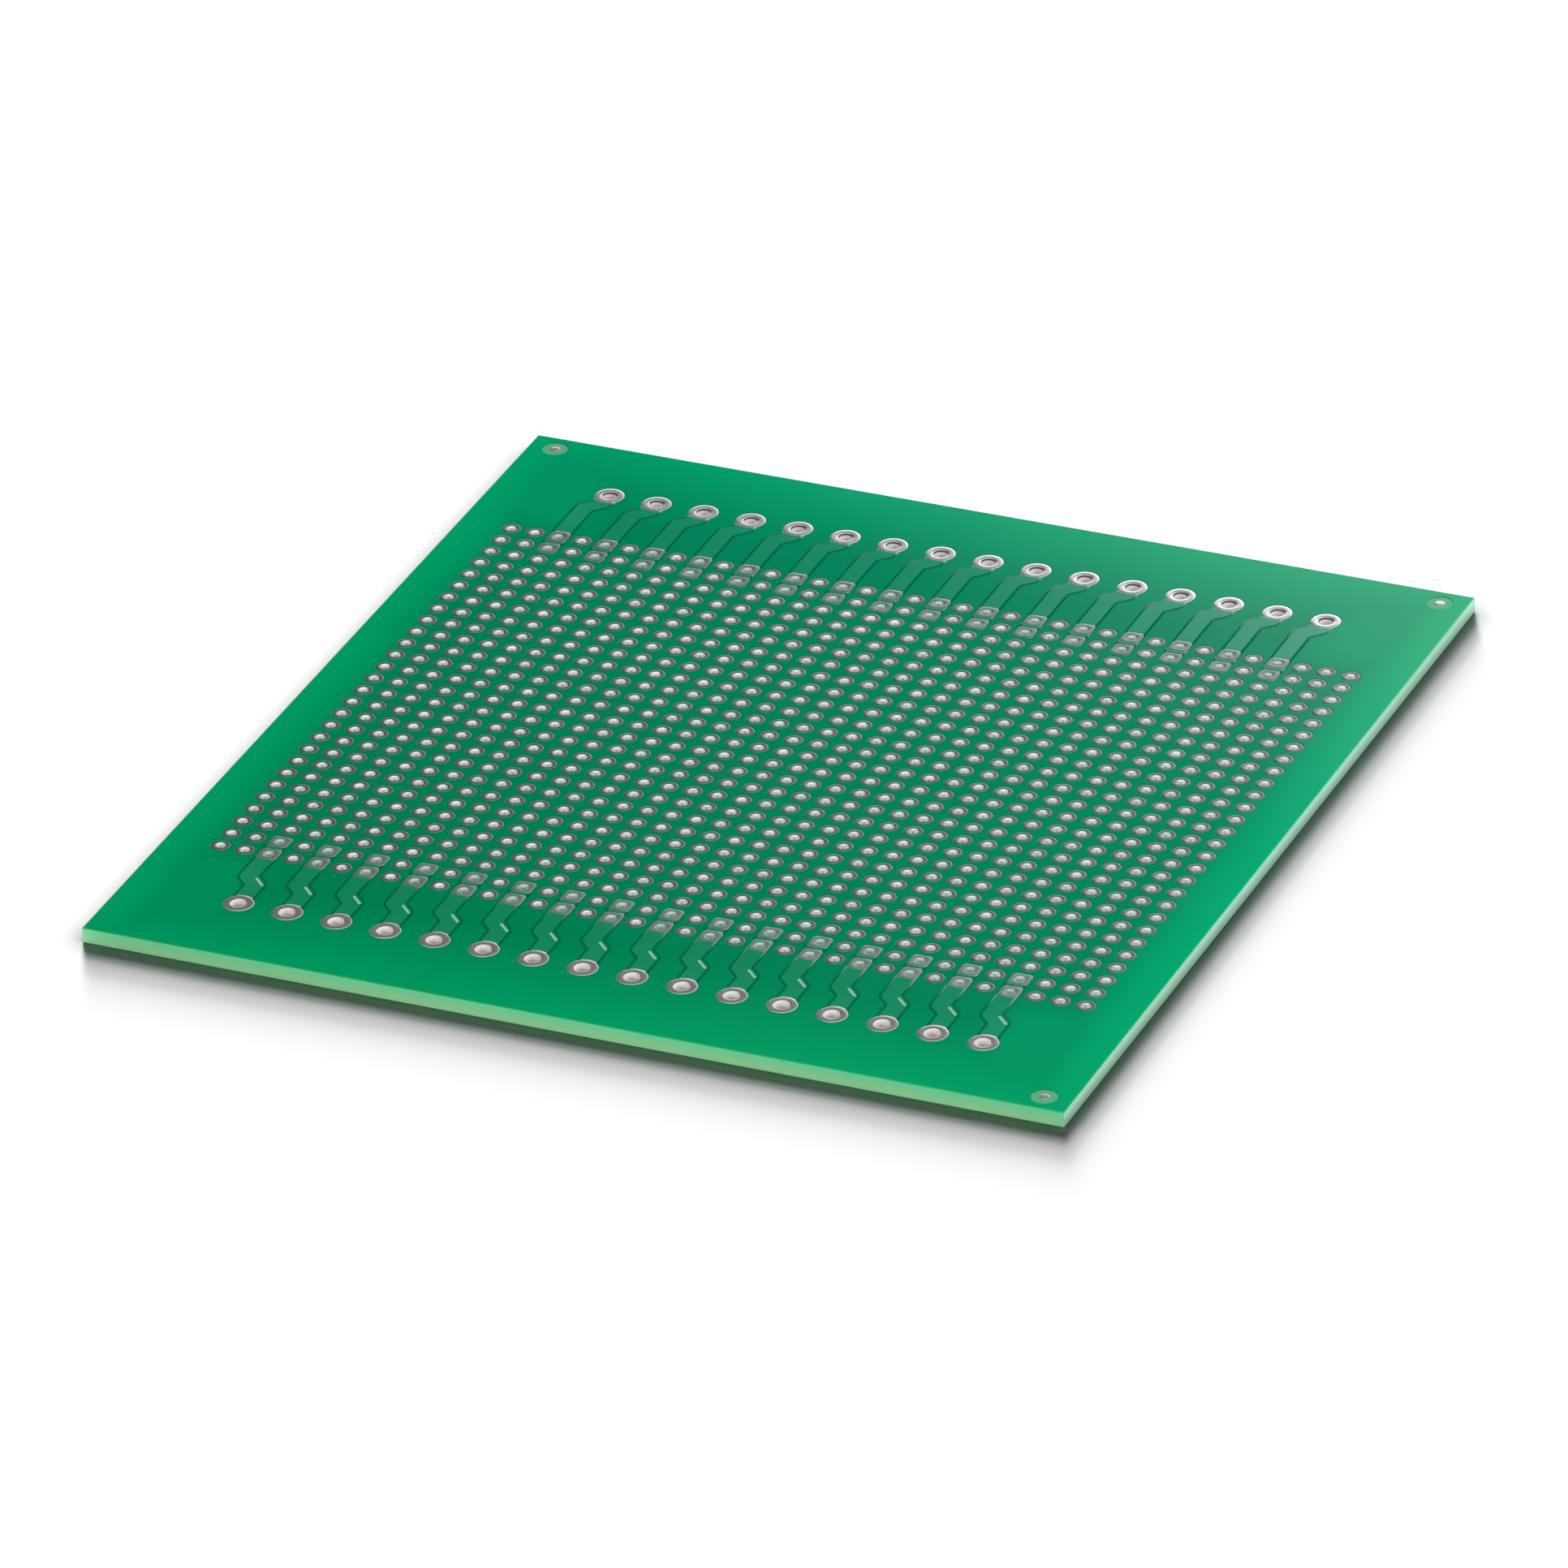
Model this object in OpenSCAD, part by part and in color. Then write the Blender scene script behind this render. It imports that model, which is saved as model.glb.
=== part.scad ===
// A bare double-sided circuit board for prototypes, with no parts fitted.
// A field of plated lead holes fills the middle. A row of larger plated holes for
// screw terminals runs along the front edge and another along the back edge, and
// each terminal hole is joined by a track to two pads at the end of its column.
//
// The origin is at the middle of the underside. +X runs along the rows of pads,
// +Y runs from the front terminals to the back ones, and +Z points out of the side
// that carries the tracks. All sizes are in millimetres.

/* [Board] */
// Width of the board, along the rows of pads
board_w = 100; // [96:0.5:160]
// Depth of the board, from the front edge to the back edge
board_d = 107; // [101:0.5:160]
// Finished thickness, from the face of a bottom land to the face of a top land
board_t = 1.6; // [0.8:0.1:3.2]

/* [Hole field] */
// Distance from one lead hole to the next, both ways
pitch = 2.54; // [2.4:0.02:2.7]
// Number of pads in a row, always even
columns = 36; // [32:2:38]
// Number of rows of pads, always even
rows = 28; // [8:2:30]
// Finished diameter of a lead hole
hole_d = 1; // [0.6:0.05:1.3]
// Diameter of the round land at each end of a lead hole
pad_d = 1.9; // [1.5:0.05:2.2]

/* [Terminals] */
// Number of terminal holes in each of the two rows
terminals = 16; // [2:1:18]
// Distance between the front and the back row of terminal holes
terminal_rows_apart = 88; // [84:0.5:98]
// Finished diameter of a terminal hole
terminal_hole_d = 1.5; // [1:0.05:2]
// Diameter of the round land at each end of a terminal hole
terminal_pad_d = 3; // [2.2:0.1:3.8]

/* [Copper] */
// Thickness of the copper and tin of a land or a track
copper_t = 0.06; // [0.035:0.005:0.12]
// Wall of the plated lining of a hole
plating_t = 0.05; // [0.03:0.005:0.1]
// Width of the track from a terminal hole to its column of pads
track_w = 1.7; // [0.8:0.1:2]
// Number of pads at the end of a column that a track joins
joined_pads = 2; // [1:1:4]
// Width across the flats of a joined pad
joined_pad_w = 2; // [1.6:0.05:2.2]
// Diameter that rounds the corners of a joined pad
joined_pad_round_d = 2.5; // [2.3:0.05:2.8]
// Distance from the front terminal row to the middle of the sidestep in its tracks
front_sidestep = 4.4; // [2.5:0.1:6]
// Distance from the back terminal row to the middle of the sidestep in its tracks
back_sidestep = 2.6; // [2.5:0.1:6]

/* [Solder mask] */
// Thickness of the solder mask on the bare laminate
mask_t = 0.06; // [0.02:0.005:0.1]
// Thickness of the solder mask on top of a track and beside it
mask_cover_t = 0.03; // [0.02:0.005:0.08]
// Gap between a land and the edge of its window in the solder mask
mask_gap = 0.05; // [0.02:0.01:0.12]

/* [Corner marks] */
// Diameter of the copper dot in a corner mark
mark_d = 1; // [0.6:0.1:1.6]
// Diameter of the window in the solder mask round the dot
mark_window_d = 2.6; // [1.8:0.1:3.2]
// Distance from the middle of a mark to the side edge of the board
mark_inset_x = 2.8; // [2:0.1:6]
// Distance from the middle of a mark to the front or back edge of the board
mark_inset_y = 2.2; // [2:0.1:4]

/* [Hidden] */
$fn = 32;
FRONT = -1;
BACK = 1;
// Rows of loose pads that share one node
rows_in_node = 2;
// How far a cutter runs past the face that it cuts
over = 0.5;
laminate_green = [0.62, 0.74, 0.5];
mask_green = [0.02, 0.5, 0.3, 1];
tin_grey = [0.78, 0.8, 0.8];

// Two terminals stand side by side on four columns of pads, so every terminal hole
// lies half a pitch beside the column that its track runs to
terminal_pitch = 2 * pitch;
column_shift = pitch / 2;
first_joined_column = columns / 2 - terminals;
terminal_y = terminal_rows_apart / 2;
last_row_y = (rows - 1) / 2 * pitch;
drilled_d = hole_d + 2 * plating_t;
terminal_drilled_d = terminal_hole_d + 2 * plating_t;

// The board lies on whichever is thicker, the bottom lands or the bottom mask
laminate_t = board_t - 2 * copper_t;
laminate_z = max(copper_t, mask_t);
top_z = laminate_z + laminate_t;
land_z = laminate_z - copper_t;
barrel_h = laminate_t + 2 * copper_t;

// Middles of the corner marks: back left, back right and front right
mark_x = board_w / 2 - mark_inset_x;
mark_y = board_d / 2 - mark_inset_y;
MARKS = [[-mark_x, mark_y], [mark_x, mark_y], [mark_x, -mark_y]];

function column_x(column) = (column - (columns - 1) / 2) * pitch;
function row_y(row) = (row - (rows - 1) / 2) * pitch;
function terminal_x(terminal) = (terminal - (terminals - 1) / 2) * terminal_pitch;
function sidestep(side) = side == FRONT ? front_sidestep : back_sidestep;

// A pad is joined if a track runs to its column and it is one of the column's end pads
function at_row_end(row) = row < joined_pads || row >= rows - joined_pads;
function on_track(column) = let(steps = column - first_joined_column)
  steps >= 0 && steps < 2 * terminals && steps % 2 == 0;
function is_joined(column, row) = at_row_end(row) && on_track(column);

// Y of the joined pads on one side, from the outermost inwards
function joined_rows_y(side) = [for (i = [0:joined_pads - 1]) side * (last_row_y - i * pitch)];

function link_name(side, terminal) =
  str(side == FRONT ? "front_link_" : "back_link_", terminal + 1);
function rows_name(set) = str("pad_rows_", set * rows_in_node + 1, "_", (set + 1) * rows_in_node);

SETS = [0:rows / rows_in_node - 1];
TERMINALS = [0:terminals - 1];
SIDES = [FRONT, BACK];

// Outlines, in the plane of the board. grow widens each of them all round.

module board_outline() {
  square([board_w, board_d], center = true);
}

module pad_land(grow = 0) {
  circle(d = pad_d + 2 * grow);
}

module joined_land(grow = 0) {
  intersection() {
    square(joined_pad_w + 2 * grow, center = true);
    circle(d = joined_pad_round_d + 2 * grow);
  }
}

module terminal_land(grow = 0) {
  circle(d = terminal_pad_d + 2 * grow);
}

module track_length(from, to, width) {
  run = to - from;
  translate(from) rotate(atan2(run[1], run[0])) translate([0, -width / 2])
    square([norm(run), width]);
}

// The way of a track from its innermost joined pad to its terminal hole, seen from
// the terminal: straight out, one sidestep at 45 degrees, and straight on
module track(side, grow = 0) {
  width = track_w + 2 * grow;
  step_y = terminal_y - sidestep(side);
  inner = [-column_shift, joined_rows_y(side)[joined_pads - 1]];
  before = [-column_shift, side * (step_y - column_shift / 2)];
  after = [0, side * (step_y + column_shift / 2)];
  outer = [0, side * terminal_y];
  track_length(inner, before, width);
  track_length(before, after, width);
  track_length(after, outer, width);
  for (corner = [before, after]) translate(corner) circle(d = width);
}

module all_tracks(grow = 0) {
  for (side = SIDES) for (terminal = TERMINALS)
    translate([terminal_x(terminal), 0]) track(side, grow);
}

// Everything on one side of the board that the solder mask leaves bare
module mask_windows() {
  for (column = [0:columns - 1]) for (row = [0:rows - 1])
    translate([column_x(column), row_y(row)])
      if (is_joined(column, row)) joined_land(mask_gap);
      else pad_land(mask_gap);
  for (side = SIDES) for (terminal = TERMINALS)
    translate([terminal_x(terminal), side * terminal_y]) terminal_land(mask_gap);
}

// The pieces

// Glass cloth in epoxy, drilled for the lining of every hole
module laminate() {
  color(laminate_green) translate([0, 0, laminate_z]) linear_extrude(laminate_t)
    difference() {
      board_outline();
      for (column = [0:columns - 1]) for (row = [0:rows - 1])
        translate([column_x(column), row_y(row)]) circle(d = drilled_d);
      for (side = SIDES) for (terminal = TERMINALS)
        translate([terminal_x(terminal), side * terminal_y]) circle(d = terminal_drilled_d);
    }
}

// The mask on top runs over the tracks as low ridges, and leaves the marks bare too
module solder_mask_top() {
  color(mask_green) translate([0, 0, top_z]) difference() {
    union() {
      linear_extrude(mask_t) board_outline();
      linear_extrude(copper_t + mask_cover_t) all_tracks(mask_cover_t);
    }
    translate([0, 0, -over]) linear_extrude(mask_t + copper_t + mask_cover_t + 2 * over) {
      mask_windows();
      for (mark = MARKS) translate(mark) circle(d = mark_window_d);
    }
    translate([0, 0, -over]) linear_extrude(copper_t + over) all_tracks();
  }
}

module solder_mask_bottom() {
  color(mask_green) translate([0, 0, laminate_z - mask_t]) linear_extrude(mask_t)
    difference() {
      board_outline();
      mask_windows();
    }
}

module corner_marks() {
  color(tin_grey) for (mark = MARKS)
    translate([mark[0], mark[1], top_z]) cylinder(d = mark_d, h = copper_t);
}

// A plated hole that no track joins: a lining with a land at each end, in one piece
module loose_pad() {
  bore_r = hole_d / 2;
  lining_r = drilled_d / 2;
  land_r = pad_d / 2;
  rotate_extrude() polygon([
    [bore_r, land_z], [land_r, land_z], [land_r, laminate_z], [lining_r, laminate_z],
    [lining_r, top_z], [land_r, top_z], [land_r, top_z + copper_t], [bore_r, top_z + copper_t]
  ]);
}

module pad_rows(set) {
  color(tin_grey)
    for (row = [set * rows_in_node:(set + 1) * rows_in_node - 1]) for (column = [0:columns - 1])
      if (!is_joined(column, row))
        translate([column_x(column), row_y(row), 0]) loose_pad();
}

// One piece of copper: a terminal hole's lining and lands, its track, and the linings
// and lands of the pads that it joins
module copper_link(side, terminal) {
  joined_places = [for (y = joined_rows_y(side)) [-column_shift, y]];
  terminal_place = [0, side * terminal_y];
  color(tin_grey) translate([terminal_x(terminal), 0, land_z]) difference() {
    union() {
      linear_extrude(copper_t) {
        for (place = joined_places) translate(place) joined_land();
        translate(terminal_place) terminal_land();
      }
      for (place = joined_places) translate(place) cylinder(d = drilled_d, h = barrel_h);
      translate(terminal_place) cylinder(d = terminal_drilled_d, h = barrel_h);
      translate([0, 0, barrel_h - copper_t]) linear_extrude(copper_t) {
        for (place = joined_places) translate(place) joined_land();
        track(side);
        translate(terminal_place) terminal_land();
      }
    }
    translate([0, 0, -over]) {
      for (place = joined_places) translate(place) cylinder(d = hole_d, h = barrel_h + 2 * over);
      translate(terminal_place) cylinder(d = terminal_hole_d, h = barrel_h + 2 * over);
    }
  }
}

laminate();
solder_mask_top();
solder_mask_bottom();
corner_marks();
for (side = SIDES) for (terminal = TERMINALS)
  copper_link(side, terminal);
for (set = SETS)
  pad_rows(set);
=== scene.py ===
import math
import random
import bpy
from mathutils import Matrix, Vector, geometry


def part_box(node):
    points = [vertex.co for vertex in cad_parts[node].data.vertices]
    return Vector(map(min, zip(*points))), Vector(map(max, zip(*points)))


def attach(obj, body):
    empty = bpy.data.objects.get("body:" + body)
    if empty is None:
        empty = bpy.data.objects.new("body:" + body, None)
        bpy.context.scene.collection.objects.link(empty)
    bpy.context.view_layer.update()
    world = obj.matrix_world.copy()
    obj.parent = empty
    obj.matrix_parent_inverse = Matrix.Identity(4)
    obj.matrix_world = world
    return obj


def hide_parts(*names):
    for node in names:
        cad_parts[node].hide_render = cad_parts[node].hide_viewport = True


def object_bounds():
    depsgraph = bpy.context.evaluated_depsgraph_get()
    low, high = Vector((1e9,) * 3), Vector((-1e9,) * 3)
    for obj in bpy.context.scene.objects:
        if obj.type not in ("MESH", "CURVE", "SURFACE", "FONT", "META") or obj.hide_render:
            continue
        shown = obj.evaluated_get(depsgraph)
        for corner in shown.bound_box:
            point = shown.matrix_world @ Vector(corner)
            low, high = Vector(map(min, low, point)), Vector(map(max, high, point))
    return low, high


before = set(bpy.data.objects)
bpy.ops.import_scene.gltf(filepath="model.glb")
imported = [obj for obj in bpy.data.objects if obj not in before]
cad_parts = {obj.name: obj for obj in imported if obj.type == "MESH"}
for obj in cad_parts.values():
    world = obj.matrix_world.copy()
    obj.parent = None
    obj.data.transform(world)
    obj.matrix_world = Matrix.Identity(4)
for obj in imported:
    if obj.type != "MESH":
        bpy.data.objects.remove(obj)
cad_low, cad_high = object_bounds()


# ---------------------------------------------------------------------------
# Laminate
# The panel is eight plies of woven glass cloth pressed in pale epoxy and sawn to
# size. Only its cut edges show, and three small rings of it round the corner marks.
# ---------------------------------------------------------------------------

MM = 0.001
panel_low, panel_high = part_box("laminate")
BOARD_W = panel_high.x - panel_low.x
BOARD_D = panel_high.y - panel_low.y
LAMINATE_TOP = panel_high.z
LAMINATE_UNDER = panel_low.z
PLY = 0.185 * MM
BUNDLE = 0.55 * MM
SKIN = 0.006 * MM
EDGE_MARGIN = 0.2 * MM
SAWN_DEPTH = 0.01 * MM


class Wire:
    """One socket of a finish. Sums, products and the like of wires add Math nodes."""

    def __init__(self, socket):
        self.socket = socket
        self.tree = socket.id_data

    @staticmethod
    def node(tree, kind, settings, sockets, out=0):
        """Adds a node: its type, then its settings, then the values or wires of its sockets."""
        made = tree.nodes.new("ShaderNode" + kind)
        for name, value in settings.items():
            setattr(made, name, value)
        for name, value in sockets.items():
            if isinstance(value, Wire):
                tree.links.new(value.socket, made.inputs[name])
            else:
                made.inputs[name].default_value = value
        return Wire(made.outputs[out]) if made.outputs else None

    def other(self, out):
        """Another output of the same node."""
        return Wire(self.socket.node.outputs[out])

    def math(self, operation, *others):
        sockets = dict(enumerate((self, *others)))
        return Wire.node(self.tree, "Math", {"operation": operation}, sockets)

    def __add__(self, other):
        return self.math("ADD", other)

    def __radd__(self, other):
        return self.math("ADD", other)

    def __sub__(self, other):
        return self.math("SUBTRACT", other)

    def __rsub__(self, other):
        return self.math("MULTIPLY_ADD", -1.0, other)

    def __mul__(self, other):
        return self.math("MULTIPLY", other)

    def __rmul__(self, other):
        return self.math("MULTIPLY", other)


def srgb(red, green, blue):
    """A colour given in 0 to 255 steps of the screen, as the shader's linear colour."""
    def linear(step):
        share = step / 255
        return share / 12.92 if share <= 0.04045 else ((share + 0.055) / 1.055) ** 2.4
    return (linear(red), linear(green), linear(blue), 1.0)


def new_finish(name, **constants):
    """A material with one Principled shader, whose unchanging sockets are set here."""
    finish = bpy.data.materials.new(name)
    finish.use_nodes = True
    shader = finish.node_tree.nodes["Principled BSDF"]
    for socket, value in constants.items():
        shader.inputs[socket.replace("_", " ")].default_value = value
    return finish


def feed(finish, socket, wire):
    """Drives a socket of the finish's Principled shader."""
    shader = finish.node_tree.nodes["Principled BSDF"]
    finish.node_tree.links.new(wire.socket, shader.inputs[socket])


def place_on(finish):
    """The place of each point in the board's own frame, in metres."""
    return Wire.node(finish.node_tree, "TexCoord", {}, {}, "Object")


def part_of(place, axis):
    """How far a place lies along X, Y or Z. The wire's other() gives the other two."""
    return Wire.node(place.tree, "SeparateXYZ", {}, {"Vector": place}, axis)


def grain(place, per_metre, detail=2.0, roughness=0.5):
    """Soft noise from 0 to 1 with that many grains to the metre."""
    sockets = {"Vector": place, "Scale": per_metre, "Detail": detail, "Roughness": roughness}
    return Wire.node(place.tree, "TexNoise", {}, sockets)


def eased(value, start, end):
    """Rises softly from 0 at the start value to 1 at the end value."""
    sockets = {"Value": value, "From Min": start, "From Max": end}
    return Wire.node(value.tree, "MapRange", {"interpolation_type": "SMOOTHSTEP"}, sockets)


def blend(share, first, second):
    """A colour between two colours: the first where the share is 0, the second at 1."""
    settings = {"data_type": "RGBA"}
    return Wire.node(share.tree, "Mix", settings, {0: share, 6: first, 7: second}, 2)


def relief(height, depth, strength):
    """A Bump node for fine relief of that depth, in metres."""
    sockets = {"Height": height, "Distance": depth, "Strength": strength}
    return Wire.node(height.tree, "Bump", {}, sockets)


def dress(node, finish):
    """Gives a CAD node its finish."""
    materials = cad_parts[node].data.materials
    materials.clear()
    materials.append(finish)


laminate_finish = new_finish("sawn_laminate", Roughness=0.62)
place = place_on(laminate_finish)
height = part_of(place, "Z")
along = height.other("X") + height.other("Y")
wander = grain(place, 700.0) * 1.6
plies = (height * (2 * math.pi / PLY) + wander).math("SINE")
bundles = (along * (2 * math.pi / BUNDLE) + wander * 2.0).math("SINE")
cloth = plies * 0.3 + plies * bundles * 0.2 + 0.5

# The cut edge is paler and yellower towards its foot.
low_share = eased(height, LAMINATE_TOP - EDGE_MARGIN, LAMINATE_UNDER + EDGE_MARGIN)
# The cut edge's colours are far paler than the laminate's top face: partly painted light,
# standing in for light that scatters out through the sawn edge.
dark_ply = blend(low_share, srgb(88, 218, 144), srgb(164, 244, 166))
light_ply = blend(low_share, srgb(132, 250, 186), srgb(208, 255, 206))
woven = blend(cloth, dark_ply, light_ply)
dusty = blend(grain(place, 1800.0, 4.0) * 0.7, woven, srgb(150, 242, 174))

# On the left and right edges the colour is painted whiter, a painted sheen, and darker towards
# the foot, a painted contact shade.
half_w = BOARD_W / 2
off_x = height.other("X").math("ABSOLUTE")
on_side = eased(off_x, half_w - 0.002 * MM, half_w - 0.001 * MM)
side_sheen_and_foot_shade = blend(low_share, srgb(224, 250, 232), srgb(160, 184, 166))
sawn = blend(on_side * 0.6, dusty, side_sheen_and_foot_shade)
on_face = eased(height, LAMINATE_TOP - SKIN, LAMINATE_TOP - SKIN / 2)
feed(laminate_finish, "Base Color", blend(on_face, sawn, srgb(84, 160, 112)))
feed(laminate_finish, "Normal", relief(cloth + grain(place, 9000.0), SAWN_DEPTH, 0.6))
dress("laminate", laminate_finish)


# ---------------------------------------------------------------------------
# Loose lead pads
# A plated hole of 1 mm with a round land at each end: copper through the drilling,
# dipped in molten tin and blown level, which leaves each land slightly crowned.
# ---------------------------------------------------------------------------

PITCH = 2.54 * MM
COLUMNS, ROWS = 36, 28
TERMINALS = 16
JOINED = 2
HOLE_R = 0.5 * MM
PAD_R = 0.95 * MM
LINING = 0.05 * MM
LAND_T = 0.06 * MM
LAND_TOP = LAMINATE_TOP + LAND_T
LAND_UNDER = cad_low.z
ROUND_STEPS = 20

# Round a pad's wall: from the outer edge of the top land over its crown, down the hole,
# out under the bottom land, and back up the outside of the lining. Each ring has its
# share of the way from the hole to the land's edge, none for the lining, and its height.
RINGS = [
    (1.0, LAMINATE_TOP), (1.0, LAND_TOP - 0.025 * MM), (0.9, LAND_TOP),
    (0.6, LAND_TOP + 0.015 * MM), (0.2, LAND_TOP + 0.007 * MM), (0.0, LAND_TOP - 0.02 * MM),
    (0.0, LAND_UNDER + 0.025 * MM), (0.2, LAND_UNDER + 0.004 * MM), (0.55, LAND_UNDER),
    (0.9, LAND_UNDER + 0.006 * MM), (1.0, LAND_UNDER + 0.025 * MM), (1.0, LAMINATE_UNDER),
    (None, LAMINATE_UNDER), (None, LAMINATE_TOP),
]
CROWN_RINGS = (2, 3, 4)
BORE_RING = 5

# No two crowns are alike: each is a little higher or lower, and leans a little.
MOST_LIFT = 0.006 * MM
MOST_LEAN = 0.008 * MM
uneven = random.Random(11)

# The skin of the tin: how deep its pits are, and how much its gloss varies.
PIT_DEPTH = 0.012 * MM
GLOSS_SPREAD = 0.16

# The rows of pads that make one piece, from the first up to the end row. A CAD node
# holds two rows.
FIELDS = {"front": (0, 10), "middle": (10, 18), "back": (18, ROWS)}
ROWS_IN_NODE = 2


def column_x(column):
    return (column - (COLUMNS - 1) / 2) * PITCH


def row_y(row):
    return (row - (ROWS - 1) / 2) * PITCH


def is_joined(column, row):
    """Whether a track from a terminal hole ends in this pad."""
    steps = column - (COLUMNS // 2 - TERMINALS)
    on_track = 0 <= steps < 2 * TERMINALS and steps % 2 == 0
    return on_track and (row < JOINED or row >= ROWS - JOINED)


def circle(radius, steps):
    """An outline as (angle, radius) pairs."""
    return [(2 * math.pi * step / steps, radius) for step in range(steps)]


def add_pad(mesh, centre, outline, hole_r, land=0, bore=1):
    """Adds one plated hole with its two lands to the mesh, as a closed ring of strips.
    Land and bore are the numbers of their finishes."""
    points, faces, slots = mesh
    first, around = len(points), len(outline)
    lift = uneven.uniform(-MOST_LIFT, MOST_LIFT)
    lean = uneven.uniform(0, MOST_LEAN)
    lean_angle = uneven.uniform(0, 2 * math.pi)
    for ring, (share, height) in enumerate(RINGS):
        for angle, edge in outline:
            radius = hole_r + (LINING if share is None else (edge - hole_r) * share)
            crown = lift + lean * math.cos(angle - lean_angle) if ring in CROWN_RINGS else 0.0
            points.append((centre[0] + radius * math.cos(angle),
                           centre[1] + radius * math.sin(angle), height + crown))
    for ring in range(len(RINGS)):
        here = first + ring * around
        after = first + (ring + 1) % len(RINGS) * around
        for step in range(around):
            turn = (step + 1) % around
            faces.append((here + step, here + turn, after + turn, after + step))
            slots.append(bore if ring == BORE_RING else land)


def make_piece(name, mesh, finishes, nodes):
    """Makes a piece from points, faces and finish numbers, in place of those CAD nodes."""
    points, faces, slots = mesh
    data = bpy.data.meshes.new(name)
    data.from_pydata(points, [], faces)
    data.polygons.foreach_set("material_index", slots)
    data.polygons.foreach_set("use_smooth", [True] * len(faces))
    data.validate()
    data.update()
    for finish in finishes:
        data.materials.append(finish)
    piece = bpy.data.objects.new(name, data)
    bpy.context.scene.collection.objects.link(piece)
    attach(piece, "root")
    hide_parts(*nodes)
    return piece


def clouds(place):
    """Soft clouds, some 2 mm across, in which the tin is duller or brighter."""
    return grain(place, 420.0, 3.0)


def make_tin_finish(name, first, second, metallic, rough, shares=clouds):
    """Tin between two colours, the second where its share is 1, with a finely pitted face."""
    finish = new_finish(name, Metallic=metallic)
    place = place_on(finish)
    feed(finish, "Base Color", blend(shares(place), first, second))
    feed(finish, "Roughness", grain(place, 900.0, 3.0) * GLOSS_SPREAD + rough)
    feed(finish, "Normal", relief(grain(place, 5200.0, 3.0), PIT_DEPTH, 0.5))
    return finish


# The loose lands' tin is painted darker than the other lands' tin: painted shade from the mask
# walls round these small lands.
loose_tin = make_tin_finish("level_tin", srgb(122, 130, 126), srgb(152, 160, 155),
                            metallic=0.7, rough=0.26)
loose_bore = make_tin_finish("tin_in_the_holes", srgb(226, 240, 233), srgb(240, 252, 246),
                             metallic=0.94, rough=0.22)
for field, (first_row, end_row) in FIELDS.items():
    mesh = ([], [], [])
    for row in range(first_row, end_row):
        for column in range(COLUMNS):
            if not is_joined(column, row):
                add_pad(mesh, (column_x(column), row_y(row)), circle(PAD_R, ROUND_STEPS), HOLE_R)
    replaced = [f"pad_rows_{row + 1}_{row + ROWS_IN_NODE}"
                for row in range(first_row, end_row, ROWS_IN_NODE)]
    make_piece("lead_pads_" + field, mesh, [loose_tin, loose_bore], replaced)


# ---------------------------------------------------------------------------
# Terminal pads, joined pads and their tracks
# Each terminal hole, its track and the two squarish pads at the end of its column are
# one run of copper. The track is etched, so its sides slope, and the mask covers it.
# ---------------------------------------------------------------------------

TERMINAL_PITCH = 2 * PITCH
TERMINAL_Y = 44 * MM
TERMINAL_HOLE_R = 0.75 * MM
TERMINAL_R = 1.5 * MM
TERMINAL_STEPS = 28
JOINED_W = 2.0 * MM
JOINED_ROUND_R = 1.25 * MM
TRACK_W = 1.7 * MM
TRACK_TOP = LAND_TOP - 0.015 * MM
ETCH_SLOPE = 0.05 * MM
SIDE = {"front": -1, "back": 1}
SIDESTEP = {"front": 4.4 * MM, "back": 2.6 * MM}
COLUMN_SHIFT = PITCH / 2
LAST_ROW_Y = (ROWS - 1) / 2 * PITCH

# How far from the middle of a hole the bar of a track begins, inside the land.
CLEAR_OF_HOLE = 0.72 * MM
CLEAR_OF_TERMINAL = 1.1 * MM

# The tin of a back hole is painted dark down to the first of these depths below the land,
# a painted shade under its rim, and painted bright from the second, a painted reflection of the
# lit wall across the hole.
PAINTED_SHADE_DEPTH = 0.16 * MM
PAINTED_LIGHT_DEPTH = 0.36 * MM


def terminal_x(terminal):
    return (terminal - (TERMINALS - 1) / 2) * TERMINAL_PITCH


def squarish(width, round_r):
    """A square with its corners cut by a circle, as (angle, radius) pairs."""
    corner = math.acos(width / 2 / round_r)
    right_angle = math.pi / 2
    quarter = [0.0, corner / 2, corner, right_angle / 2,
               right_angle - corner, right_angle - corner / 2]
    angles = [start * right_angle + angle for start in range(4) for angle in quarter]
    reach = [width / 2 / max(abs(math.cos(a)), abs(math.sin(a))) for a in angles]
    return [(angle, min(edge, round_r)) for angle, edge in zip(angles, reach)]


def track_path(side, terminal):
    """The middle of a track, from its inner joined pad to its terminal hole."""
    way, x = SIDE[side], terminal_x(terminal)
    step_y = TERMINAL_Y - SIDESTEP[side]
    return [
        Vector((x - COLUMN_SHIFT, way * (LAST_ROW_Y - (JOINED - 1) * PITCH))),
        Vector((x - COLUMN_SHIFT, way * (step_y - COLUMN_SHIFT / 2))),
        Vector((x, way * (step_y + COLUMN_SHIFT / 2))),
        Vector((x, way * TERMINAL_Y)),
    ]


def lefts(path, number):
    """The directions to the left of a path, before and after one of its points."""
    before = path[number] - path[number - 1] if number else path[1] - path[0]
    after = path[number + 1] - path[number] if number + 1 < len(path) else before
    return [Vector((-run.y, run.x)).normalized() for run in (before, after)]


def mitre(path, number, offset):
    """The corner at that distance to the left of one of a path's points."""
    left_before, left_after = lefts(path, number)
    middle = (left_before + left_after).normalized()
    return path[number] + middle * (offset / middle.dot(left_after))


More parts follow.
